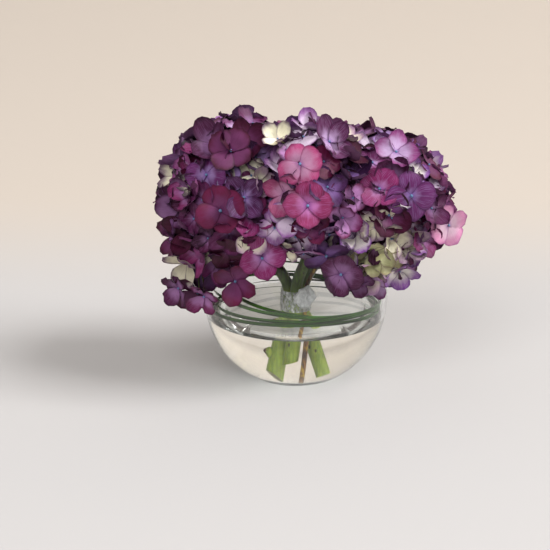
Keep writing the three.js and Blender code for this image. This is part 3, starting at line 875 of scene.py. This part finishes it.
def add_floret(shape, seed, materials):
    """Four sepals, one pair over the other, round a bead, a unit from the bead to the tips."""
    width, cup, edge, curl, wave = SHAPE_VALUES[shape]
    parts = []
    for k in range(4):
        item = seed * 4 + k
        size = 0.9 + 0.16 * vary(item, 1)
        lean = cup * (0.7 + 0.6 * vary(item, 2))
        part = add_sepal("sepal", width * (0.92 + 0.16 * vary(item, 3)), lean, edge, curl, wave, item)
        edit(part)
        bpy.ops.mesh.select_all(action="SELECT")
        bpy.ops.transform.resize(value=(size, size, size), center_override=(0, 0, 0))
        pitch, roll = (math.radians(26) * (vary(item, trait) - 0.5) for trait in (5, 6))
        bpy.ops.transform.rotate(value=-pitch, orient_axis="X", center_override=(0, 0, 0))
        bpy.ops.transform.rotate(value=roll, orient_axis="Y", center_override=(0, 0, 0))
        turn = math.radians(90 * k + 16 * (vary(item, 4) - 0.5))
        bpy.ops.transform.rotate(value=-turn, orient_axis="Z", center_override=(0, 0, 0))
        bpy.ops.transform.translate(value=(0, 0, 0.05 if k % 2 else 0.0))
        done_editing()
        part.data.materials.append(materials[0])
        parts.append(part)
    deselect_all()
    bpy.ops.mesh.primitive_ico_sphere_add(subdivisions=1, radius=0.072, location=(0, 0, 0.07), calc_uvs=True)
    bead = added("bead")
    edit(bead)
    pick(bead, lambda co: co.z > 0.1)
    bpy.ops.transform.resize(value=(0.7, 0.7, 0.8), center_override=(0, 0, 0.07))
    done_editing()
    settle(bead)
    bead.data.materials.append(materials[1])
    parts.append(bead)
    whole = join(parts, f"floret_{shape}_{seed}")
    smooth(whole, 60)
    for label in ("tint", "throat"):
        whole.data.color_attributes.new(label, "FLOAT_COLOR", "POINT")
    return whole


def add_stalk(material):
    """A tapered stalk a unit long, from a cylinder."""
    deselect_all()
    bpy.ops.mesh.primitive_cylinder_add(
        vertices=5, radius=1, depth=1, location=(0, 0, 0.5), end_fill_type="NOTHING"
    )
    piece = added("stalk")
    settle(piece)
    edit(piece)
    bpy.ops.mesh.select_all(action="SELECT")
    bpy.ops.mesh.subdivide(number_cuts=1)
    pick(piece, lambda co: co.z > 0.9)
    bpy.ops.transform.resize(value=(0.7, 0.7, 1), center_override=(0, 0, 1))
    done_editing()
    piece.data.materials.append(material)
    smooth(piece, 80)
    for label in ("tint", "throat"):
        piece.data.color_attributes.new(label, "FLOAT_COLOR", "POINT")
    return piece


def frame_matrix(place, normal, spin, scale):
    u = rotated(square_to(normal), normal, spin)
    v = normal.cross(u)
    turn = Matrix((u, v, normal)).transposed().to_4x4()
    return Matrix.Translation(place) @ turn @ Matrix.Diagonal((*scale, 1))


def copied(pattern, matrix, tint=None, throat=None):
    """A copy of a pattern with its own mesh, put in place and tinted."""
    mesh = pattern.data.copy()
    mesh.transform(matrix)
    if tint is not None:
        count = len(mesh.vertices)
        mesh.color_attributes["tint"].data.foreach_set("color", [*tint, 1.0] * count)
        mesh.color_attributes["throat"].data.foreach_set("color", throat * count)
    piece = bpy.data.objects.new(pattern.name, mesh)
    bpy.context.collection.objects.link(piece)
    return piece


# ------------------------------------------------------------------ tubes along a path


def add_tube(name, points, radii, smoothness=8, sides=6):
    """A round tube along a smooth path, as a mesh."""
    deselect_all()
    bpy.ops.curve.primitive_bezier_curve_add(location=(0, 0, 0))
    piece = added(name)
    curve = piece.data
    curve.dimensions = "3D"
    spline = curve.splines[0]
    spline.bezier_points.add(len(points) - 2)
    for place, radius, knot in zip(points, radii, spline.bezier_points):
        knot.co = place
        knot.radius = radius
        knot.handle_left_type = knot.handle_right_type = "AUTO"
    curve.resolution_u = smoothness
    curve.bevel_depth = 1.0
    curve.bevel_resolution = sides
    curve.use_fill_caps = True
    make_active(piece)
    bpy.ops.object.convert(target="MESH")
    return added(name)


def cut_slanting(piece, foot, cut, end_slot):
    """Cuts a stem's foot off at a slant and gives the cut face its own material."""
    normal = Vector(cut).normalized()
    edit(piece)
    bpy.ops.mesh.select_all(action="SELECT")
    bpy.ops.mesh.bisect(plane_co=foot, plane_no=normal, use_fill=True, clear_inner=True)
    done_editing()
    for face in piece.data.polygons:
        if abs(face.normal.dot(normal)) > 0.99 and abs((face.center - foot).dot(normal)) < 1e-4:
            face.material_index = end_slot


# ------------------------------------------------------------------ operators


class FLOWERS_OT_heads(bpy.types.Operator):
    """Builds the floret clusters of the three heads"""

    bl_idname = "flowers.heads"
    bl_label = "Flower Heads"

    def execute(self, context):
        settings = context.scene.flower_settings
        heads = measured_heads()
        fronts = front_places(heads, settings.off_bowl)
        # The last value of each floret is how much painted shade darkens it: none for the front and outer
        # florets.
        florets = [(*front, 0.0) for front in fronts]
        fixed = [one[0] for one in fronts]
        florets += self.outer_layer(settings, heads, fixed)
        florets += self.inner_layer(settings, heads)
        materials = (sepal_material(), bead_material(), pedicel_material())
        patterns = {
            shape: [add_floret(shape, 10 * n + k, materials) for k in range(VARIANTS)]
            for n, shape in enumerate(SHAPE_VALUES)
        }
        stalk = add_stalk(materials[2])
        self.build_clusters(florets, patterns, stalk, heads)
        for pattern in [one for group in patterns.values() for one in group] + [stalk]:
            bpy.data.objects.remove(pattern)
        return {"FINISHED"}

    def outer_layer(self, settings, heads, fixed):
        made = []
        places = spread_over_heads(heads, settings.outer_pitch, 0.0, settings.off_bowl, fixed)
        for k, (head, place) in enumerate(places):
            normal = normal_at(head, place)
            tilt = 66 * (vary(k, 2) - 0.5)
            facing = rotated(rotated(normal, square_to(normal), tilt), normal, 360 * vary(k, 3))
            radius = settings.floret_radius * (0.82 + 0.34 * vary(k, 4))
            shape = SHAPES[int(len(SHAPES) * vary(k, 5))]
            tint = self.tint_for(heads.index(head), place, k)
            if tint in PALE_TINTS:
                shape, radius = ("young", "cupped", "wavy")[k % 3], radius * 0.84
            lift = 4 * MM * (vary(k, 6) - 0.65) - sunk(shape, radius)
            spin = 90 * vary(k, 7)
            made.append((place + normal * lift, facing.normalized(), radius, spin, shape, tint, 0.0))
        return made

    def inner_layer(self, settings, heads):
        made = []
        sink = settings.inner_depth
        places = spread_over_heads(heads, settings.inner_pitch, sink, settings.off_bowl - 4 * MM, [])
        for k, (head, place) in enumerate(places):
            normal = normal_at(head, place)
            tilted = rotated(normal, square_to(normal), 50 * (vary(k, 12) - 0.5))
            facing = rotated(tilted, normal, 360 * vary(k, 13))
            radius = settings.floret_radius * (0.7 + 0.35 * vary(k, 14))
            tint = self.tint_for(heads.index(head), place, k + 500)
            shape = "wavy" if vary(k, 15) < 0.6 else "open"
            # The inner florets are darkened to 40 per cent by painted shade (0.6), which stands for the shade
            # between the florets.
            made.append((place, facing.normalized(), radius, 90 * vary(k, 16), shape, tint, 0.6))
        return made

    def tint_for(self, index, place, item):
        """The tint of a floret: by its head, with patches of young pale ones."""
        above = place.z - MOUTH_Z
        if index == 2 and above < 28 * MM and place.x < 84 * MM and vary(item, 21) < 0.7:
            return PALE_TINTS[int(3 * vary(item, 22))]
        if index < 2 and above < 26 * MM and place.x > -34 * MM and vary(item, 21) < 0.45:
            return "white violet" if vary(item, 22) < 0.6 else "lilac"
        if index == 1 and above > 84 * MM and vary(item, 21) < 0.5:
            return "cream" if vary(item, 22) < 0.5 else "lilac"
        tints = HEAD_TINTS[index]
        return tints[int(len(tints) * vary(item, 23))]

    def build_clusters(self, florets, patterns, stalk, heads):
        boxes = {name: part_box(name) for name in CLUSTER_NODES}
        middles = {name: (Vector(low) + Vector(high)) / 2 for name, (low, high) in boxes.items()}
        parts = {name: [] for name in CLUSTER_NODES}
        owners = self.share_out(florets, middles)
        for k, (place, normal, radius, spin, shape, tint, inner_painted_shade) in enumerate(florets):
            name = owners[k]
            head = heads[[one["name"] for one in heads].index(name.split("_")[0])]
            main, throat = (linear(code) for code in TINTS[tint])
            # Each floret's tone differs at random, and the inner florets are also darkened by painted shade.
            tone_and_painted_shade = (0.45 + 0.95 * vary(k, 41)) * (1 - inner_painted_shade)
            main = [min(1.0, c * tone_and_painted_shade) for c in main]
            paleness = 0.12 + 0.85 * vary(k, 42) ** 1.3
            if tint in PALE_TINTS:
                paleness = 0.5 + 0.4 * vary(k, 43)
            scale = (radius, radius, radius)
            pattern = patterns[shape][k % VARIANTS]
            matrix = frame_matrix(place, normal, spin, scale)
            parts[name].append(copied(pattern, matrix, main, [*throat, paleness]))
            hub = hub_of(middles[name], head)
            start = place - normal * 1 * MM
            way = start - hub
            thick = 0.8 * MM
            matrix = frame_matrix(hub, way.normalized(), 0, (thick, thick, way.length))
            parts[name].append(copied(stalk, matrix, (0.1, 0.1, 0.05), [0.1, 0.1, 0.05, 0.0]))
        for name in CLUSTER_NODES:
            piece = join(parts[name], f"florets_{name}")
            hand_over(piece, name.split("_")[0] + "_petals", name)

    def share_out(self, florets, middles):
        """Gives each cluster the floret nearest to it, then each other floret to its nearest cluster."""
        owners = {}
        for name, middle in middles.items():
            free = [k for k in range(len(florets)) if k not in owners]
            owners[min(free, key=lambda k: (florets[k][0] - middle).length)] = name
        for k, floret in enumerate(florets):
            if k not in owners:
                owners[k] = min(middles, key=lambda one: (middles[one] - floret[0]).length)
        return owners


class FLOWERS_OT_stems(bpy.types.Operator):
    """Builds the stems, with their rays, and the twig"""

    bl_idname = "flowers.stems"
    bl_label = "Stems"

    def execute(self, context):
        settings = context.scene.stem_settings
        skin, end, bark = stem_material(), cut_material(), twig_material()
        heads = measured_heads()
        for spec in STEMS:
            self.build_stem(spec, heads[spec["head"]], settings, (skin, end, bark))
        self.build_twig(settings, bark)
        return {"FINISHED"}

    def build_stem(self, spec, head, settings, materials):
        x, y, z = (value * MM for value in spec["foot"])
        foot = Vector((x, y, BOWL_FLOOR + z))
        bound_x, bound_y = (value * settings.stem_radius for value in spec["bound"])
        crown = head["fork"]
        lean = min(1.0, 38.2 * MM / math.hypot(crown.x, crown.y)) * 0.93
        points = [
            foot - Vector((0, 0, settings.stem_radius)),
            Vector((bound_x, bound_y, FILM_LOW.z - MM)),
            Vector((bound_x, bound_y, FILM_HIGH.z + MM)),
            Vector((crown.x * lean, crown.y * lean, MOUTH_Z - 6 * MM)),
            crown,
        ]
        radius = settings.stem_radius
        stem = add_tube("stalk", points, [radius * share for share in (spec["swell"], 1, 1, 1, 1.1)], 14, 5)
        give_material(stem, *materials)
        cut_slanting(stem, foot, spec["cut"], 1)
        parts = [stem]
        for name in CLUSTER_NODES:
            if name.startswith(head["name"]):
                parts.append(self.build_ray(name, head, settings, materials))
        if "scar" in spec:
            parts.append(self.build_scar(spec["scar"], materials))
        whole = join(parts, "stem_" + head["name"])
        smooth(whole, 50)
        hand_over(whole, "stem_green", spec["node"])

    def build_scar(self, place, materials):
        """The collar that a leaf left on a stem, with a woody lip."""
        x, y, z = (value * MM for value in place)
        middle = Vector((x, y, BOWL_FLOOR + z))
        deselect_all()
        bpy.ops.mesh.primitive_ico_sphere_add(
            subdivisions=3, radius=2.8 * MM, location=middle, scale=(0.9, 1, 1.2)
        )
        collar = added("collar")
        settle(collar)
        edit(collar)
        pick(collar, lambda co: co.x < middle.x - 1.2 * MM)
        bpy.ops.transform.translate(value=(-1.2 * MM, 0, 1.0 * MM))
        bpy.ops.transform.resize(value=(1, 0.8, 0.5), center_override=middle + Vector((0, 0, MM)))
        done_editing()
        give_material(collar, *materials)
        for face in collar.data.polygons:
            if face.center.x < middle.x - 1.6 * MM:
                face.material_index = 2
        return collar

    def build_ray(self, name, head, settings, materials):
        low, high = (Vector(corner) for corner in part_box(name))
        hub = hub_of((low + high) / 2, head)
        crown = head["fork"]
        bow = crown.lerp(hub, 0.5) + Vector((0, 0, (hub - crown).length * 0.08))
        radius = settings.ray_radius
        points = [crown, off_the_bowl(bow, 7 * MM), hub]
        ray = add_tube("ray", points, [radius * 1.8, radius, radius * 0.9], 5, 2)
        give_material(ray, *materials)
        return ray

    def build_twig(self, settings, bark):
        x, y, z = (value * MM for value in TWIG["foot"])
        foot = Vector((x, y, BOWL_FLOOR + z))
        bound_x, bound_y = (value * settings.stem_radius for value in TWIG["bound"])
        top_x, top_y, top_z = (value * MM for value in TWIG["top"])
        points = [
            foot - Vector((0, 0, 4 * MM)),
            Vector((bound_x, bound_y, FILM_LOW.z)),
            Vector((bound_x, bound_y, FILM_HIGH.z)),
            Vector((top_x, top_y, WATER_Z + top_z)),
        ]
        radius = settings.twig_radius
        twig = add_tube("twig", points, [radius * 1.05, radius, radius, radius * 0.7], 14, 4)
        give_material(twig, bark)
        cut_slanting(twig, foot, TWIG["cut"], 0)
        smooth(twig, 50)
        hand_over(twig, "twig_brown", "woody_twig")


class FLOWERS_OT_film(bpy.types.Operator):
    """Builds the clear film round the stems and its knot"""

    bl_idname = "flowers.film"
    bl_label = "Film"

    def execute(self, context):
        self.build_band(film_material("Clear film", 0.12, 0.85))
        # The knot's film is nearly opaque white. This is partly the real gathered layers and partly a painted
        # highlight that stands for glints of light on the film.
        self.build_knot(film_material("Gathered film with painted glints", 0.75, 1.0))
        return {"FINISHED"}

    def build_band(self, material):
        middle = (FILM_LOW + FILM_HIGH) / 2
        size = FILM_HIGH - FILM_LOW
        deselect_all()
        bpy.ops.mesh.primitive_cylinder_add(
            vertices=64, radius=0.5, depth=1, location=middle, scale=size, end_fill_type="NOTHING"
        )
        band = added("film_band")
        settle(band)
        edit(band)
        bpy.ops.mesh.select_all(action="SELECT")
        bpy.ops.mesh.subdivide(number_cuts=9)
        done_editing()
        clouds = bpy.data.textures.new("film wrinkles", "CLOUDS")
        clouds.noise_scale = 0.006
        apply_modifier(
            band, "DISPLACE", texture=clouds, strength=1.4 * MM, mid_level=0.6, texture_coords="LOCAL"
        )
        apply_modifier(band, "SOLIDIFY", thickness=0.25 * MM, offset=-1)
        give_material(band, material)
        smooth(band, 60)
        hand_over(band, "clear_film", "stem_film")

    def build_knot(self, material):
        top = KNOT_HIGH + Vector((3 * MM, 0, 8 * MM))
        middle = (KNOT_LOW + top) / 2
        size = top - KNOT_LOW
        deselect_all()
        bpy.ops.mesh.primitive_ico_sphere_add(subdivisions=5, radius=0.5, location=middle)
        knot = added("film_twist")
        knot.scale = size
        settle(knot)
        folds = bpy.data.textures.new("knot folds", "VORONOI")
        folds.noise_scale = 0.0065
        apply_modifier(
            knot, "DISPLACE", texture=folds, strength=8 * MM, mid_level=0.6, texture_coords="LOCAL"
        )
        give_material(knot, material)
        smooth(knot, 30)
        hand_over(knot, "clear_film", "film_knot")


class FLOWERS_OT_grass(bpy.types.Operator):
    """Builds the grass blades coiled inside the bowl"""

    bl_idname = "flowers.grass"
    bl_label = "Grass"

    def execute(self, context):
        width = context.scene.stem_settings.blade_width
        material = blade_material()
        for k, spec in enumerate(BLADES):
            self.build_blade(k, spec, width, material)
        return {"FINISHED"}

    def build_blade(self, index, spec, width, material):
        name = f"grass_blade_{index + 1}"
        points, radii = [], []
        steps = 30
        inner = BOWL_RADIUS - 3 * MM
        for k in range(steps + 1):
            share = k / steps
            angle = math.radians(spec["start"] + spec["run"] * share)
            slope = spec["rise"][0] * math.cos(angle) + spec["rise"][1] * math.sin(angle)
            z = WATER_Z + (spec["height"] + slope + 0.25 * math.sin(3 * angle + index)) * MM
            wall = math.sqrt(inner**2 - (abs(z - BOWL_CENTRE_Z) + width / 2) ** 2)
            room = wall - 1.5 * MM
            loop = Vector(
                (
                    (spec["middle"][0] + spec["radii"][0] * math.cos(angle)) * MM,
                    (spec["middle"][1] + spec["radii"][1] * math.sin(angle)) * MM,
                    0,
                )
            )
            if loop.length > room:
                loop = loop.normalized() * room
            points.append(Vector((loop.x, loop.y, z)))
            radii.append(min(1.0, 0.5 + 6 * share) * min(1.0, 0.15 + 2.4 * (1 - share)))
        deselect_all()
        bpy.ops.curve.primitive_bezier_curve_add(location=(0, 0, 0))
        blade = added("blade")
        curve = blade.data
        curve.dimensions = "3D"
        curve.twist_mode = "Z_UP"
        spline = curve.splines[0]
        spline.bezier_points.add(len(points) - 2)
        for place, radius, knot in zip(points, radii, spline.bezier_points):
            knot.co = place
            knot.radius = radius
            knot.handle_left_type = knot.handle_right_type = "AUTO"
        curve.resolution_u = 4
        curve.extrude = width / 2 - 0.3 * MM
        curve.bevel_depth = 0.3 * MM
        curve.bevel_resolution = 1
        make_active(blade)
        bpy.ops.object.convert(target="MESH")
        blade = added("blade_" + str(index + 1))
        give_material(blade, material)
        smooth(blade, 60)
        hand_over(blade, "blade_green", name)


class FLOWERS_OT_bowl(bpy.types.Operator):
    """Builds the glass bowl and the water in it"""

    bl_idname = "flowers.bowl"
    bl_label = "Bowl and Water"

    def execute(self, context):
        settings = context.scene.bowl_settings
        self.build_bowl(settings)
        self.build_water(settings)
        return {"FINISHED"}

    def sphere(self, name, radius, segments):
        deselect_all()
        bpy.ops.mesh.primitive_uv_sphere_add(
            segments=segments, ring_count=segments // 2, radius=radius, location=BOWL_CENTRE
        )
        piece = added(name)
        settle(piece)
        return piece

    def build_bowl(self, settings):
        bowl = self.sphere("glass_bowl", BOWL_RADIUS, settings.segments)
        edit(bowl)
        bpy.ops.mesh.select_all(action="SELECT")
        bpy.ops.mesh.bisect(plane_co=(0, 0, MOUTH_Z), plane_no=(0, 0, 1), clear_outer=True)
        bpy.ops.mesh.select_all(action="SELECT")
        bpy.ops.mesh.bisect(plane_co=(0, 0, 0), plane_no=(0, 0, 1), clear_inner=True, use_fill=True)
        done_editing()
        apply_modifier(bowl, "SOLIDIFY", thickness=settings.wall, offset=-1)
        edit(bowl)
        inside = BOWL_RADIUS - settings.wall / 2
        pick(bowl, lambda co: co.z < BOWL_FLOOR and (co - BOWL_CENTRE).length < inside)
        bpy.ops.transform.resize(value=(1, 1, 0), center_override=(0, 0, BOWL_FLOOR))
        done_editing()
        apply_modifier(
            bowl, "BEVEL", width=1.3 * MM, segments=4, limit_method="ANGLE", angle_limit=math.radians(50)
        )
        give_material(bowl, glass_material())
        smooth(bowl, 60)
        hand_over(bowl, "bowl_glass", "vase_bowl")

    def build_water(self, settings):
        overlap = 0.15 * MM
        water = self.sphere("water_body", BOWL_RADIUS - settings.wall + overlap, settings.segments)
        edit(water)
        bpy.ops.mesh.select_all(action="SELECT")
        bpy.ops.mesh.bisect(plane_co=(0, 0, WATER_Z), plane_no=(0, 0, 1), clear_outer=True, use_fill=True)
        bpy.ops.mesh.select_all(action="SELECT")
        foot = BOWL_FLOOR - overlap
        bpy.ops.mesh.bisect(plane_co=(0, 0, foot), plane_no=(0, 0, 1), clear_inner=True, use_fill=True)
        done_editing()
        give_material(water, water_material())
        smooth(water, 40)
        hand_over(water, "water", "water")


class FLOWERS_OT_stage(bpy.types.Operator):
    """Builds the floor, the backdrop, the lights and the camera"""

    bl_idname = "flowers.stage"
    bl_label = "Stage"

    def execute(self, context):
        settings = context.scene.stage_settings
        self.build_sweep(settings)
        self.build_lights(context, settings)
        self.build_camera(context)
        return {"FINISHED"}

    def build_sweep(self, settings):
        deselect_all()
        front, back = -3.2, 3.2
        bpy.ops.mesh.primitive_plane_add(size=1, location=(0, (front + back) / 2, -0.1 * MM))
        floor = added("floor")
        floor.scale = (8, back - front, 1)
        settle(floor)
        edit(floor)
        pick(floor, lambda co: co.y > 0)
        bpy.ops.mesh.extrude_region_move(TRANSFORM_OT_translate={"value": (0, 0, 4)})
        pick(floor, lambda co: co.y > 0 and co.z < 0.01)
        bpy.ops.mesh.bevel(offset=0.35, segments=16, profile=0.5, affect="EDGES")
        done_editing()
        material, tree, principled = new_material("Backdrop paper", Roughness=0.9)
        space = object_coordinates(tree)
        parts = node(tree, "ShaderNodeSeparateXYZ")
        tree.links.new(space, parts.inputs[0])
        far = ramp(tree, parts.outputs["Y"], 0.15, 0.5)
        ground = mix_colours(tree, far, tuple(settings.floor_colour), tuple(settings.sweep_colour))
        upright = ramp(tree, parts.outputs["Z"], 0.02, 0.4)
        colour = mix_colours(tree, upright, ground, tuple(settings.wall_colour))
        tree.links.new(colour, principled.inputs["Base Color"])
        give_material(floor, material)
        smooth(floor, 60)

    def build_lights(self, context, settings):
        world = bpy.data.worlds.new("Studio")
        world.use_nodes = True
        background = world.node_tree.nodes["Background"]
        tree = world.node_tree
        way = node(tree, "ShaderNodeSeparateXYZ")
        tree.links.new(node(tree, "ShaderNodeTexCoord").outputs["Generated"], way.inputs[0])
        height = ramp(tree, way.outputs["Z"], -0.1, 0.5)
        room = mix_colours(tree, height, (0.50, 0.46, 0.42), (1.0, 0.98, 0.96))
        nearness = ramp(tree, way.outputs["Y"], -0.9, 0.2, 0.4, 1.0)
        room = mix_colours(tree, 1.0, room, nearness, "MULTIPLY")
        tree.links.new(room, background.inputs["Color"])
        background.inputs["Strength"].default_value = settings.ambient
        context.scene.world = world
        target = Vector((0, 0, 0.12))
        self.add_softbox("key", Vector((4.5, -1.2, 5.1)), target, 3.1, settings.key_power)
        fill = self.add_softbox("fill", Vector((-0.9, -2.6, 2.6)), target, 2.4, settings.fill_power)
        # The front light isn't mirrored in the bowl.
        fill.visible_glossy = False
        fill.visible_transmission = False
        # Light that runs round inside the water meets many surfaces before it leaves.
        context.scene.cycles.max_bounces = 32
        context.scene.cycles.transmission_bounces = 32

    def add_softbox(self, name, place, target, size, power):
        bpy.ops.object.light_add(type="AREA", location=place)
        lamp = bpy.context.active_object
        lamp.name = name
        lamp.data.size = size
        lamp.data.energy = power
        lamp.rotation_euler = (target - place).to_track_quat("-Z", "Y").to_euler()
        return lamp

    def build_camera(self, context):
        elevation = math.radians(19.3)
        forward = Vector((0, math.cos(elevation), -math.sin(elevation)))
        up = Vector((0, math.sin(elevation), math.cos(elevation)))
        target = BOWL_CENTRE + Vector((-17.3 * MM, 0, 0)) + up * 17.1 * MM
        bpy.ops.object.camera_add(location=target - forward * 2.5)
        camera = bpy.context.active_object
        camera.name = "camera"
        camera.rotation_euler = (math.pi / 2 - elevation, 0, 0)
        camera.data.lens = 196
        camera.data.sensor_width = 36
        context.scene.camera = camera
        context.scene.view_settings.view_transform = "Standard"


OPERATORS = (
    FLOWERS_OT_stage,
    FLOWERS_OT_bowl,
    FLOWERS_OT_grass,
    FLOWERS_OT_stems,
    FLOWERS_OT_film,
    FLOWERS_OT_heads,
)


class FLOWERS_PT_panel(bpy.types.Panel):
    """Lists the pieces in the sidebar"""

    bl_idname = "FLOWERS_PT_panel"
    bl_label = "Hydrangeas"
    bl_space_type = "VIEW_3D"
    bl_region_type = "UI"
    bl_category = "Flowers"

    def draw(self, context):
        for operator in OPERATORS:
            self.layout.operator(operator.bl_idname)
        for name, group in SETTINGS.items():
            box = self.layout.box()
            for field in group.__annotations__:
                box.prop(getattr(context.scene, name), field)


CLASSES = (*SETTINGS.values(), *OPERATORS, FLOWERS_PT_panel)


def register():
    for one in CLASSES:
        bpy.utils.register_class(one)
    for name, group in SETTINGS.items():
        setattr(bpy.types.Scene, name, PointerProperty(type=group))


def unregister():
    for name in SETTINGS:
        delattr(bpy.types.Scene, name)
    for one in reversed(CLASSES):
        bpy.utils.unregister_class(one)


def main():
    register()
    bpy.ops.flowers.stage()
    bpy.ops.flowers.bowl()
    bpy.ops.flowers.grass()
    bpy.ops.flowers.stems()
    bpy.ops.flowers.film()
    bpy.ops.flowers.heads()
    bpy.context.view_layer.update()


if __name__ == "__main__":
    main()
